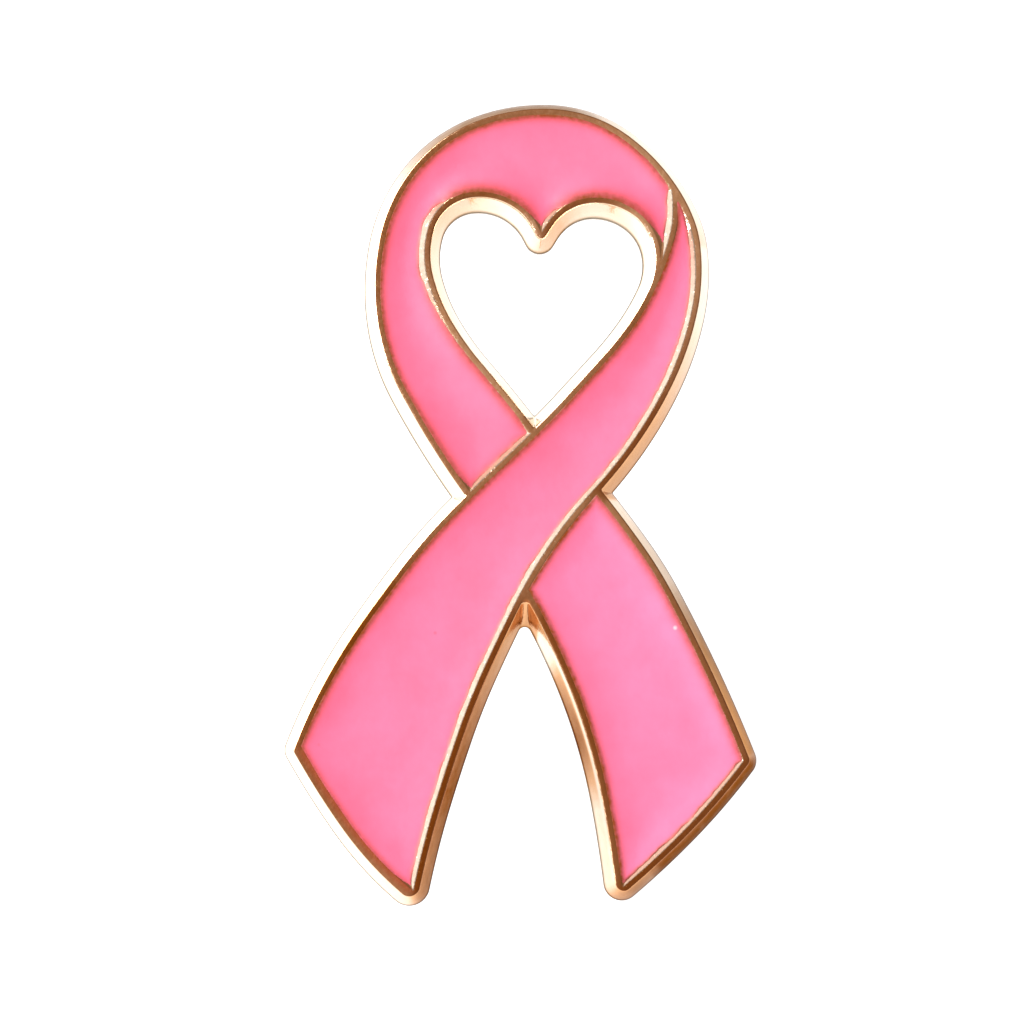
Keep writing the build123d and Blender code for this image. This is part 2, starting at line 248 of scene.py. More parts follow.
def rounded_at(loop, k, radius):
    """Rounds the sharp corner where arc k starts."""
    arcs, sharp = loop
    a, b = arcs[k - 1], arcs[k]
    nax, nay = (a.cx - a.x1) / a.r, (a.cy - a.y1) / a.r
    nbx, nby = (b.cx - b.x0) / b.r, (b.cy - b.y0) / b.r
    left = nax * nby - nay * nbx > 0
    r = radius if left else -radius
    moved_a, moved_b = shifted([a, b], r)
    cx, cy = crossing(moved_a, moved_b, b.x0 + r * (nax + nbx) / 2, b.y0 + r * (nay + nby) / 2)

    def foot(arc):
        away = math.hypot(cx - arc.cx, cy - arc.cy)
        return arc.cx + (cx - arc.cx) * abs(arc.r) / away, arc.cy + (cy - arc.cy) * abs(arc.r) / away

    pa, pb = foot(a), foot(b)
    bend = Arc(cx, cy, r, pa[0], pa[1], pb[0], pb[1])
    out_arcs, out_sharp = list(arcs), list(sharp)
    out_arcs[k - 1] = a._replace(x1=pa[0], y1=pa[1])
    out_arcs[k] = b._replace(x0=pb[0], y0=pb[1])
    out_sharp[k] = False
    place = k if k > 0 else len(out_arcs)
    out_arcs.insert(place, bend)
    out_sharp.insert(place, False)
    return (out_arcs, out_sharp), bend


def nearest_corner(loop, corner):
    arcs, sharp = loop
    return min(
        (i for i in range(len(arcs)) if sharp[i]),
        key=lambda i: math.hypot(arcs[i].x0 - corner.x, arcs[i].y0 - corner.y),
    )


def offset_loop(loop, d):
    arcs, sharp = loop
    moved = shifted(arcs, d)
    for k in range(len(arcs)):
        if sharp[k]:
            p = crossing(moved[k - 1], moved[k], (moved[k].x0 + moved[k - 1].x1) / 2, (moved[k].y0 + moved[k - 1].y1) / 2)
            moved[k - 1] = moved[k - 1]._replace(x1=p[0], y1=p[1])
            moved[k] = moved[k]._replace(x0=p[0], y0=p[1])
    for a in moved:
        assert full_sweep(a) < math.radians(200), ("an arc has vanished", d, a)
    return moved, sharp


# ---- the edges and the closed outlines ---------------------------------------------------------------
loop_edge = arcs_through(LOOP)
front_right = arcs_through(FRONT_RIGHT)
front_left = arcs_through(FRONT_LEFT)
right_lobe = arcs_through(RIGHT_LOBE)
left_lobe = arcs_through(LEFT_LOBE)
front_end = arcs_through(FRONT_END)
back_right = arcs_through(BACK_RIGHT)
back_end = arcs_through(BACK_END)
back_left = arcs_through(BACK_LEFT)

WALL = WALL_SPREAD
outer_sharp = closed_loop(
    [
        shifted(loop_edge + front_right[:4], WALL), shifted(back_right, WALL), shifted(back_end, WALL),
        shifted(back_left, WALL), shifted(front_right[4:], WALL), shifted(front_end, WALL), shifted(front_left[:4], WALL),
    ],
    [RIGHT_WAIST, BACK_CORNER, BACK_TIP, NOTCH, FRONT_TIP, FRONT_CORNER, LEFT_WAIST],
)
outer_top = offset_loop(outer_sharp, -WALL)
tip_bends = {}
for name, corner in (("front", FRONT_TIP), ("front_corner", FRONT_CORNER), ("back_corner", BACK_CORNER), ("back", BACK_TIP)):
    outer_top, tip_bends[name] = rounded_at(outer_top, nearest_corner(outer_top, corner), corner.radius)

heart_side = front_left[6:10]
heart_top = closed_loop([heart_side + right_lobe, left_lobe], [HEART_CUSP, HEART_V])
heart_top, _ = rounded_at(heart_top, nearest_corner(heart_top, HEART_CUSP), HEART_CUSP.radius)

IN = LINE_TOP + SLOPE_RUN
loop_pool = closed_loop(
    [
        shifted(loop_edge, -IN), shifted(turned_back(front_left[10:]), -SLOPE_RUN), shifted(right_lobe, -IN),
        shifted(left_lobe, -IN), shifted(turned_back(front_left[:8]), -SLOPE_RUN),
    ],
    [FOLD_TOP, FOLD_FOOT, HEART_CUSP, HEART_V, LEFT_WAIST],
)
INSET = 0.06
front_pool = closed_loop(
    [
        shifted(loop_edge[8:] + front_right, -(IN + INSET)), shifted(front_end, -(LINE_TOP_TAIL + SLOPE_RUN + INSET)),
        shifted(front_left, -(IN + INSET)),
    ],
    [FRONT_TIP, FRONT_CORNER, FRONT_APEX],
)
front_pool = offset_loop(front_pool, INSET)
back_pool = closed_loop(
    [
        shifted(back_right, -IN), shifted(back_end, -IN), shifted(back_left, -IN),
        shifted(turned_back(front_right[2:6]), -SLOPE_RUN),
    ],
    [BACK_CORNER, BACK_TIP, NOTCH, RIGHT_WAIST],
)


def at_offset(loop, d, radius):
    """The loop moved by d, with every corner that is still sharp rounded. radius is one number, or gives one for
    each corner by its place."""
    out = offset_loop(loop, d)
    for k in reversed([i for i in range(len(out[0])) if out[1][i]]):
        corner = loop[0][k]
        r = radius(corner.x0, corner.y0, d) if callable(radius) else radius
        out, _ = rounded_at(out, k, r)
    return out


def outer_radius(x, y, d):
    if math.hypot(x - NOTCH.x, y - NOTCH.y) < 0.6:
        return 0.15 + 0.05 * max(0.0, min(1.0, d / WALL))
    return 0.05


def outer_at(d):
    return at_offset(outer_top, d, outer_radius)


def heart_at(d):
    return at_offset(heart_top, d, HEART_V.radius)


def pool_at(pool, e):
    return at_offset(pool, e, 0.012 + 0.028 * max(0.0, min(1.0, (e + 0.026) / 0.045)))


def counts_for(loop, step):
    out = []
    for a in loop[0]:
        angle = full_sweep(a)
        out.append(max(1, math.ceil(abs(a.r) * angle / step), math.ceil(angle / math.radians(14))))
    return out


def points_on(loop, counts):
    out = []
    for a, n in zip(loop[0], counts):
        turn = full_sweep(a) * (1 if a.r > 0 else -1)
        sx, sy = a.x0 - a.cx, a.y0 - a.cy
        for i in range(n):
            f = i / n
            if abs(a.r) > 300:
                out.append((a.x0 + f * (a.x1 - a.x0), a.y0 + f * (a.y1 - a.y0)))
            else:
                c, s = math.cos(turn * f), math.sin(turn * f)
                out.append((a.cx + sx * c - sy * s, a.cy + sx * s + sy * c))
    return np.array(out)


def inside(points, polygon):
    """Which points lie in the polygon."""
    px, py = points[:, 0], points[:, 1]
    hit = np.zeros(len(points), bool)
    x0, y0 = polygon[:, 0], polygon[:, 1]
    x1, y1 = np.roll(x0, -1), np.roll(y0, -1)
    for a, b, c, d in zip(x0, y0, x1, y1):
        if b == d:
            continue
        cut = ((b > py) != (d > py)) & (px < (c - a) * (py - b) / (d - b) + a)
        hit ^= cut
    return hit


def triangles_between(rings, extra=None):
    """Triangulates the region inside rings[0] and outside the others. Gives triangles of indices into the rings'
    points one after another, then the extra points."""
    verts, edges = [], []
    for ring in rings:
        n0 = len(verts)
        verts += [Vector((float(x), float(y))) for x, y in ring]
        edges += [(n0 + i, n0 + (i + 1) % len(ring)) for i in range(len(ring))]
    if extra is not None:
        verts += [Vector((float(x), float(y))) for x, y in extra]
    out_v, _, out_f, orig_v, _, _ = geometry.delaunay_2d_cdt(verts, edges, [], 0, 1e-7)
    back = [o[0] for o in orig_v]
    assert all(back[i] is not None for i in range(len(back)))
    tris = np.array([[back[i] for i in f] for f in out_f])
    xy = np.array([(v.x, v.y) for v in verts])
    mid = xy[tris].mean(axis=1)
    keep = inside(mid, np.array(rings[0]))
    for hole in rings[1:]:
        keep &= ~inside(mid, np.array(hole))
    tris = tris[keep]
    a, b, c = xy[tris[:, 0]], xy[tris[:, 1]], xy[tris[:, 2]]
    area = (b[:, 0] - a[:, 0]) * (c[:, 1] - a[:, 1]) - (b[:, 1] - a[:, 1]) * (c[:, 0] - a[:, 0])
    tris[area < 0] = tris[area < 0][:, ::-1]
    return tris


# ---- from the flat drawing to where the pin leans on the floor --------------------------------------------
ball_one, ball_two = tip_bends["front"], tip_bends["back"]
r_one, r_two = abs(ball_one.r) + WALL, abs(ball_two.r) + WALL
sx, sy = ball_two.cx - ball_one.cx, ball_two.cy - ball_one.cy
span = math.hypot(sx, sy)
lean = math.acos((r_two - r_one) / span)
ux = (sx * math.cos(lean) - sy * math.sin(lean)) / span
uy = (sx * math.sin(lean) + sy * math.cos(lean)) / span
foot_line = ux * ball_one.cx + uy * ball_one.cy - r_one
reach = ux * POST_X + uy * POST_Y - foot_line
depth = POST_LENGTH - POINT_RADIUS
tilt = math.atan2(depth, reach) + math.asin(POINT_RADIUS / math.hypot(reach, depth))
floor_normal = Vector((ux * math.sin(tilt), uy * math.sin(tilt), math.cos(tilt)))
ahead = (Vector((0, 1, 0)) - floor_normal * floor_normal.y).normalized()
across = ahead.cross(floor_normal)
TURN = Matrix((across, ahead, floor_normal))
post_mount = next(m for m in frame["record"]["mounts"] if m["name"] == "post")
shaft_from = PAD_THICKNESS - (PAD_SEAT - GAP) + SHAFT_FILLET
shaft_to = POST_LENGTH - GROOVE_FROM_TIP
MID_SHAFT = Vector((POST_X, POST_Y, -THICKNESS - (shaft_from + shaft_to) / 2))
SHIFT = Vector(post_mount["pos_m"]) * 1000 - TURN @ MID_SHAFT
TURN_NP = np.array(TURN)
SHIFT_NP = np.array(SHIFT)


def in_place(points):
    """Flat points in mm to the row frame in metres."""
    return (np.asarray(points, float) @ TURN_NP.T + SHIFT_NP) / 1000


def point_in_place(x, y, z):
    return (TURN @ Vector((x, y, z)) + SHIFT) / 1000


def direction(x, y, z):
    return (TURN @ Vector((x, y, z))).normalized()


# ---- how the enamel meets the metal ---------------------------------------------------------------------
# By the way that a slope faces, in degrees anticlockwise from +x: how far out the enamel reaches on it.
CONTACT = {
    "loop": [(0, 0.145), (116, 0.145), (128, 0.13), (132, 0.02), (145, 0.01), (152, -0.05), (165, -0.05),
             (180, -0.02), (190, -0.03), (200, 0.03), (208, 0.08), (216, 0.13), (225, 0.145)],
    "front": [(0, 0.145), (60, 0.145), (105, 0.06), (130, 0.025), (139, 0.018), (147, 0.003), (157, 0.003),
              (178, 0.003), (184, 0.0), (190, 0.0), (200, 0.05), (212, 0.14), (225, 0.145)],
    "back": [(0, 0.14), (60, 0.13), (100, 0.07), (131, 0.052), (137, 0.050), (150, 0.06), (165, 0.10), (185, 0.145),
             (300, 0.13), (318, 0.115), (330, 0.115), (345, 0.14)],
}
# The same for a painted band on the metal slopes, 0 to 1: painted shade in brown and a painted highlight in creamy
# white, in place of the slopes' reflections.
FILM = {
    "loop": [(0, 0.0), (128, 0.0), (132, 1.0), (140, 0.95), (150, 0.80), (165, 0.90), (175, 1.0), (192, 1.0), (200, 0.8),
             (210, 0.45), (220, 0.15), (230, 0.0)],
    "front": [(0, 0.0), (105, 0.0), (125, 1.0), (190, 1.0), (196, 0.8), (205, 0.3), (215, 0.0)],
    "back": [(0, 0.0), (90, 0.0), (112, 1.0), (150, 1.0), (165, 0.5), (180, 0.3), (198, 0.45), (214, 0.40), (228, 0.0)],
}
# How far out the painted band turns from brown shade to creamy highlight.
FILM_TOP = {
    "loop": [(0, 0.120), (128, 0.120), (134, 0.115), (142, 0.115), (150, 0.120)],
    "front": [(0, 0.122), (172, 0.122), (186, 0.100), (200, 0.10), (215, 0.115)],
    "back": [(0, 0.125), (131, 0.13), (140, 0.12), (200, 0.13)],
}
# How far the painted creamy highlight is turned to orange.
BLUSH = {
    "loop": [(0, 0.0), (128, 0.4), (131, 1.0), (139, 1.0), (150, 0.5), (160, 0.2), (175, 0.0), (196, 0.1), (208, 0.8),
             (225, 1.0), (240, 0.0)],
    "front": [(0, 0.0), (172, 0.0), (186, 1.0), (205, 1.0), (215, 0.0)],
    "back": [(0, 0.0), (100, 0.4), (125, 0.75), (150, 0.75), (165, 1.0), (225, 1.0)],
}
# How dark and red the enamel is painted as shade against the metal, and how far in that goes.
THIN = {
    "loop": [(0, 0.97), (25, 0.92), (35, 0.84), (60, 0.86), (80, 0.94), (112, 0.94), (128, 0.80), (137, 0.12), (192, 0.12),
             (205, 0.50), (218, 0.78), (240, 0.92), (270, 0.96)],
    "front": [(0, 1.0), (20, 0.9), (30, 0.72), (45, 0.72), (60, 0.9), (110, 0.40), (130, 0.12), (185, 0.12), (195, 0.35),
              (215, 0.72), (240, 0.94)],
    "back": [(0, 1.0), (40, 1.0), (100, 0.80), (131, 0.65), (140, 0.60), (160, 0.60), (180, 0.70), (216, 0.74),
             (250, 0.85), (300, 1.0)],
}
THIN_REACH = {
    "loop": [(0, 0.175), (28, 0.175), (42, 0.285), (112, 0.285), (128, 0.25), (140, 0.12), (190, 0.12), (208, 0.22),
             (225, 0.23), (245, 0.19), (310, 0.19), (330, 0.205), (350, 0.20)],
    "front": [(0, 0.185), (20, 0.17), (30, 0.145), (45, 0.145), (60, 0.17), (110, 0.12), (190, 0.12), (210, 0.21),
              (240, 0.19)],
    "back": [(0, 0.17), (30, 0.19), (60, 0.13), (115, 0.07), (145, 0.07), (180, 0.18), (216, 0.22), (250, 0.17),
             (300, 0.19), (340, 0.18)],
}
# How steep the metal slopes are, degrees from level.
STEEPNESS = [(0, 27), (115, 27), (130, 44), (150, 36), (195, 36), (205, 40), (225, 34), (240, 27)]
# By the way that a wall faces: how wide the shoulder at its top is, 0 narrow to 1 wide.
OUTER_SHOULDER = [(0, 0.12), (40, 0.08), (100, 0.08), (146, 0.0), (171, 0.0), (191, 0.08), (209, 0.20), (267, 0.25),
                  (300, 0.22), (340, 0.18)]
HEART_SHOULDER = [(0, 0.15), (60, 0.08), (146, 0.0), (171, 0.0), (200, 0.35), (227, 0.75), (245, 0.45), (267, 0.32),
                  (300, 0.30), (320, 0.25), (340, 0.18)]
# Along each edge, by the number of its station: how far the wall is painted coppery as a reflection of shade, the same
# for its lower part alone, how far it is painted greyish as a reflection of shade, how crisp its upper edge is, and how
# dark a brown is painted on the flat top as its reflection, or how rosy the top is.
TONES = (
    (LOOP, {
        "copper": [(0, 0.0), (4.2, 0.0), (5, 0.15)],
        "grey": [(0, 0.0), (1.8, 0.0), (2.1, 0.6), (2.4, 0.9), (3.1, 0.85), (3.35, 0.3), (3.6, 0.08), (4.3, 0.05), (5, 0.1)],
        "deep": [(0, 0.5), (1, 0.65), (1.5, 0.8), (2, 0.8), (2.6, 0.65), (3.1, 0.5), (3.5, 0.0), (4.3, 0.0), (5, 0.1)],
    }),
    (FRONT_RIGHT, {
        "copper": [(0, 0.0), (0.5, 0.0), (0.9, 0.22), (1.35, 0.42), (1.9, 0.50), (3.2, 0.50), (3.5, 0.60), (3.9, 0.82),
                   (4.4, 0.97), (5, 0.78)],
        "crisp": [(0, 0.0), (2.9, 0.0), (3.4, 0.6), (5, 0.6)],
        "deep": [(0, 0.0), (0.45, 0.25), (0.87, 0.55), (1.3, 0.88), (1.95, 0.88), (2.15, 0.35), (2.85, 0.55), (3.15, 0.95),
                 (4.4, 1.0), (5, 1.0)],
    }),
    (FRONT_LEFT, {
        "deep": [(0, 0.85), (0.35, 0.95), (0.85, 1.0), (1.3, 0.95), (1.8, 0.65), (2.3, 0.5), (3.3, 0.45), (4.1, 0.62),
                 (4.6, 0.75), (5.2, 0.5), (7, 0.5)],
    }),
    (RIGHT_LOBE, {"copper": [(0, 0.05), (1.6, 0.05), (2.1, 0.32), (3, 0.30)], "deep": [(0, 0.4), (0.7, 0.0), (1, 0.0), (1.4, 0.8), (3, 0.8)]}),
    (LEFT_LOBE, {
        "copper": [(0, 0.05), (1.2, 0.05), (1.8, 0.20), (2.2, 0.12), (3, 0.0)],
        "deep": [(0, 0.3), (0.5, 0.1), (1, 0.45), (1.4, 0.85), (2, 0.75), (2.4, 0.45), (2.9, 0.05), (4, 0.0)],
    }),
    (FRONT_END, {
        "copper": [(0, 0.1), (1, 0.0)], "crisp": [(0, 1.0), (1, 1.0)], "deep": [(0, 0.4), (1, 0.75)],
        "rosy": [(0, 0.9), (1, 0.8)],
    }),
    (BACK_RIGHT, {
        "copper": [(0, 0.0), (1, 0.05), (2, 0.45)],
        "grey": [(0, 0.2), (0.9, 0.45), (1.15, 0.8), (1.4, 0.95), (2, 0.95)],
        "deep": [(0, 0.25), (0.5, 0.45), (1, 0.6), (2, 0.75)],
    }),
    (BACK_END, {"copper": [(0, 1.0), (0.85, 1.0), (1, 0.6)], "crisp": [(0, 0.75), (1, 0.75)], "deep": [(0, 0.9), (1, 0.95)]}),
    (BACK_LEFT, {
        "low": [(0, 0.1), (0.4, 0.05), (0.8, 0.6), (1, 0.85), (1.3, 0.7), (1.6, 0.5), (1.85, 0.0), (2, 0.0)],
        "deep": [(0, 0.75), (1, 0.9), (2, 0.9)],
    }),
)


def around(table, angle):
    """Reads a table of (degrees, value) round the circle."""
    at = [a for a, _ in table]
    value = [v for _, v in table]
    return np.interp(np.asarray(angle) % 360, [at[-1] - 360] + at + [at[0] + 360], [value[-1]] + value + [value[0]])


def facing_of(loop, counts):
    """For each point that points_on gives: the way that the slope inside it faces."""
    out = []
    for a, n in zip(loop[0], counts):
        turn = full_sweep(a) * (1 if a.r > 0 else -1)
        sx, sy = (a.x0 - a.cx) / a.r, (a.y0 - a.cy) / a.r
        for i in range(n):
            c, s = math.cos(turn * i / n), math.sin(turn * i / n)
            out.append(math.degrees(math.atan2(sx * s + sy * c, sx * c - sy * s)))
    return np.array(out)


def film_over(pool_name, loop, counts, e):
    amount = around(FILM[pool_name], facing_of(loop, counts))
    return amount * max(0.0, min(1.0, (0.156 - e) / 0.008))


def cream_over(pool_name, facing, e):
    return np.clip((around(FILM_TOP[pool_name], facing) - e) / 0.05 + 0.5, 0.0, 1.0)


def along_edges():
    """Places along all the edges, with each tone there."""
    places, values = [], {name: [] for name in ("copper", "low", "grey", "crisp", "deep", "rosy")}
    for stations, tones in TONES:
        arcs = arcs_through(stations)
        for k in range(len(stations) - 1):
            pair = arcs[2 * k : 2 * k + 2]
            lengths = [abs(a.r) * full_sweep(a) for a in pair]
            done = 0.0
            for a, length in zip(pair, lengths):
                n = max(1, round(length / 0.25))
                turn = full_sweep(a) * (1 if a.r > 0 else -1)
                for i in range(n):
                    c, w = math.cos(turn * (i + 0.5) / n), math.sin(turn * (i + 0.5) / n)
                    sx, sy = a.x0 - a.cx, a.y0 - a.cy
                    places.append((a.cx + sx * c - sy * w, a.cy + sx * w + sy * c))
                    f = (done + length * (i + 0.5) / n) / sum(lengths)
                    for name, rows in values.items():
                        table = tones.get(name, [(0, 0.0)])
                        rows.append(float(np.interp(k + f, [p for p, _ in table], [v for _, v in table])))
                done += length
    return np.array(places), {name: np.array(rows) for name, rows in values.items()}


EDGE_PLACES, EDGE_TONES = along_edges()


def tone_at(points, name):
    out = []
    for k in range(0, len(points), 2000):
        part = points[k : k + 2000]
        d = np.hypot(part[:, None, 0] - EDGE_PLACES[None, :, 0], part[:, None, 1] - EDGE_PLACES[None, :, 1])
        w = np.exp(-(d - d.min(axis=1, keepdims=True)) / 0.08)
        out.append((w * EDGE_TONES[name]).sum(axis=1) / w.sum(axis=1))
    return np.concatenate(out)


class Basin:
    """The inside of a closed ring, with distances from it."""

    def __init__(self, ring, offset):
        self.ring, self.offset = ring, offset
        along = np.roll(ring, -1, axis=0) - np.roll(ring, 1, axis=0)
        self.inward = np.column_stack([along[:, 1], -along[:, 0]]) / np.hypot(*along.T)[:, None]
        fine = np.vstack([ring + f * (np.roll(ring, -1, axis=0) - ring) for f in np.linspace(0, 1, 6)[:-1]])
        self.near = kdtree.KDTree(len(fine))
        for i, (x, y) in enumerate(fine):
            self.near.insert((x, y, 0), i)
        self.near.balance()

    def away(self, points):
        return np.array([self.near.find((x, y, 0))[2] for x, y in points])

    def points(self, steps, pitch, start, seed):
        """Rows of points at the given distances inside the ring, then a grid, and the offset of each."""
        rows, at = [], []
        for t in steps:
            moved = self.ring + t * self.inward
            moved = moved[inside(moved, self.ring)]
            moved = moved[self.away(moved) > t - 0.004]
            rows.append(moved)
        lo, hi = self.ring.min(axis=0), self.ring.max(axis=0)
        grid = []
        for j, y in enumerate(np.arange(lo[1], hi[1], pitch * 0.866)):
            grid += [(x, y) for x in np.arange(lo[0] + (j % 2) * pitch / 2, hi[0], pitch)]
        rng = np.random.default_rng(seed)
        grid = np.array(grid) + rng.uniform(-0.12, 0.12, (len(grid), 2)) * pitch
        grid = grid[inside(grid, self.ring)]
        rows.append(grid[self.away(grid) > start])
        extra = np.vstack(rows)
        return extra, self.offset - self.away(extra)

    def blend(self, points, table, reach):
        """A table's value at each point, by the facing of the ring near it."""
        value = around(table, np.degrees(np.arctan2(self.inward[:, 1], self.inward[:, 0])))
        out = []
        for k in range(0, len(points), 2000):
            d = np.hypot(points[k : k + 2000, None, 0] - self.ring[None, :, 0], points[k : k + 2000, None, 1] - self.ring[None, :, 1])
            w = np.exp(-(d - d.min(axis=1, keepdims=True)) / reach)
            out.append((w * value).sum(axis=1) / w.sum(axis=1))
        return np.concatenate(out)


# ---- making meshes ----------------------------------------------------------------------------------
class Build:
    """Collects vertices in flat mm, faces and their material."""

    def __init__(self):
        self.verts, self.faces, self.kinds = [], [], []
        self.marks = {name: [] for name in ("film", "cream", "blush", "copper", "grey", "deep", "rosy", "thin", "pale", "foot")}
        self.count = 0

    def add(self, xy, z, **marks):
        xy = np.asarray(xy, float)
        z = np.broadcast_to(np.asarray(z, float), (len(xy),))
        self.verts.append(np.column_stack([xy, z]))
        for name, rows in self.marks.items():
            rows.append(np.broadcast_to(np.asarray(marks.get(name, 0.0), float), (len(xy),)))
        first = self.count
        self.count += len(xy)
        return np.arange(first, self.count)

    def strip(self, one, two, kind=0, flip=False):
        """Quads between two closed rings of equal count."""
        n = len(one)
        for i in range(n):
            j = (i + 1) % n
            f = (one[i], one[j], two[j], two[i])
            self.faces.append(f[::-1] if flip else f)
            self.kinds.append(kind)

    def patch(self, tris, index, kind=0, flip=False):
        for t in tris:
            f = [index[i] for i in t]
            self.faces.append(f[::-1] if flip else f)
            self.kinds.append(kind)

    def object(self, name, materials, slot, replaces, sharp=None):
        flat = np.vstack(self.verts)
        mesh = bpy.data.meshes.new(name)
        mesh.from_pydata(in_place(flat).tolist(), [], [[int(i) for i in f] for f in self.faces])
        mesh.polygons.foreach_set("material_index", np.array(self.kinds, np.int32))
        mesh.polygons.foreach_set("use_smooth", np.ones(len(mesh.polygons), bool))
        layer = mesh.uv_layers.new(name="flat")
        at = np.zeros(len(mesh.loops), np.int32)
        mesh.loops.foreach_get("vertex_index", at)
        layer.data.foreach_set("uv", (flat[at][:, :2] / 32 + 0.5).ravel().astype(np.float32))
        for name_of, rows in self.marks.items():
            mesh.attributes.new(name_of, "FLOAT", "POINT").data.foreach_set("value", np.concatenate(rows).astype(np.float32))
        if sharp is not None:
            mesh.set_sharp_from_angle(angle=math.radians(sharp))
        for m in materials:
            mesh.materials.append(m)
        mesh.update()
        assert not mesh.validate(), name
        obj = bpy.data.objects.new(name, mesh)
        bpy.context.scene.collection.objects.link(obj)
        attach(obj, "root")
        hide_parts(replaces)
        return obj


# ---- materials ----------------------------------------------------------------------------------------
def new_material(name):
    mat = bpy.data.materials.new(name)
    mat.use_nodes = True
    nt = mat.node_tree
    nt.nodes.clear()
    out = nt.nodes.new("ShaderNodeOutputMaterial")
    shader = nt.nodes.new("ShaderNodeBsdfPrincipled")
    nt.links.new(shader.outputs["BSDF"], out.inputs["Surface"])
    return mat, nt, shader


def node(nt, kind, **values):
    n = nt.nodes.new(kind)
    for key, value in values.items():
        if hasattr(n, key):
            setattr(n, key, value)
        else:
            n.inputs[key.replace("_", " ")].default_value = value
    return n


def mm_coordinates(nt):
    """Object coordinates scaled to millimetres."""
    place = node(nt, "ShaderNodeTexCoord")
    scale = node(nt, "ShaderNodeMapping")
    scale.inputs["Scale"].default_value = (1000, 1000, 1000)
    nt.links.new(place.outputs["Object"], scale.inputs["Vector"])
    return scale.outputs["Vector"]


def noise_of(nt, vector, scale, detail=3.0, rough=0.55, distortion=0.0):
    n = node(nt, "ShaderNodeTexNoise")
    n.inputs["Scale"].default_value = scale
    n.inputs["Detail"].default_value = detail
    n.inputs["Roughness"].default_value = rough
    n.inputs["Distortion"].default_value = distortion
    nt.links.new(vector, n.inputs["Vector"])
    return n.outputs["Fac"]


def ranged(nt, value, low, high, to_low, to_high):
    n = node(nt, "ShaderNodeMapRange")
    n.inputs["From Min"].default_value = low
    n.inputs["From Max"].default_value = high
    n.inputs["To Min"].default_value = to_low
    n.inputs["To Max"].default_value = to_high
    nt.links.new(value, n.inputs["Value"])
    return n.outputs["Result"]


def mixed(nt, factor, one, two, blend="MIX"):
    n = node(nt, "ShaderNodeMix")
    n.data_type = "RGBA"
    n.blend_type = blend
    if isinstance(factor, (int, float)):
        n.inputs[0].default_value = factor
    else:
        nt.links.new(factor, n.inputs[0])
    for socket, value in ((n.inputs[6], one), (n.inputs[7], two)):
        if isinstance(value, tuple):
            socket.default_value = (*value, 1.0)
        else:
            nt.links.new(value, socket)
    return n.outputs[2]


def math_of(nt, operation, one, two=None):
    n = node(nt, "ShaderNodeMath")
    n.operation = operation
    for socket, value in zip(n.inputs, (one, two)):
        if value is None:
            continue
        if isinstance(value, (int, float)):
            socket.default_value = value
        else:
            nt.links.new(value, socket)
    return n.outputs[0]


def bumped(nt, height, strength, distance, after=None):
    n = node(nt, "ShaderNodeBump")
    n.inputs["Strength"].default_value = strength
    n.inputs["Distance"].default_value = distance
    nt.links.new(height, n.inputs["Height"])
    if after is not None:
        nt.links.new(after, n.inputs["Normal"])
    return n.outputs["Normal"]


def attribute_of(nt, name):
    n = node(nt, "ShaderNodeAttribute")
    n.attribute_name = name
    return n.outputs["Fac"]


def spotted(nt, colour, spots):
    """Small round marks. spots are (x, y, radius, colour, strength) in the flat drawing."""
    uv = node(nt, "ShaderNodeUVMap")
    uv.uv_map = "flat"
    for x, y, radius, tint, strength in spots:
        away = node(nt, "ShaderNodeVectorMath")
        away.operation = "DISTANCE"
        nt.links.new(uv.outputs["UV"], away.inputs[0])
        away.inputs[1].default_value = (x / 32 + 0.5, y / 32 + 0.5, 0.0)
        fade = ranged(nt, away.outputs["Value"], radius * 0.3 / 32, radius / 32, strength, 0.0)
        colour = mixed(nt, fade, colour, tint)
    return colour


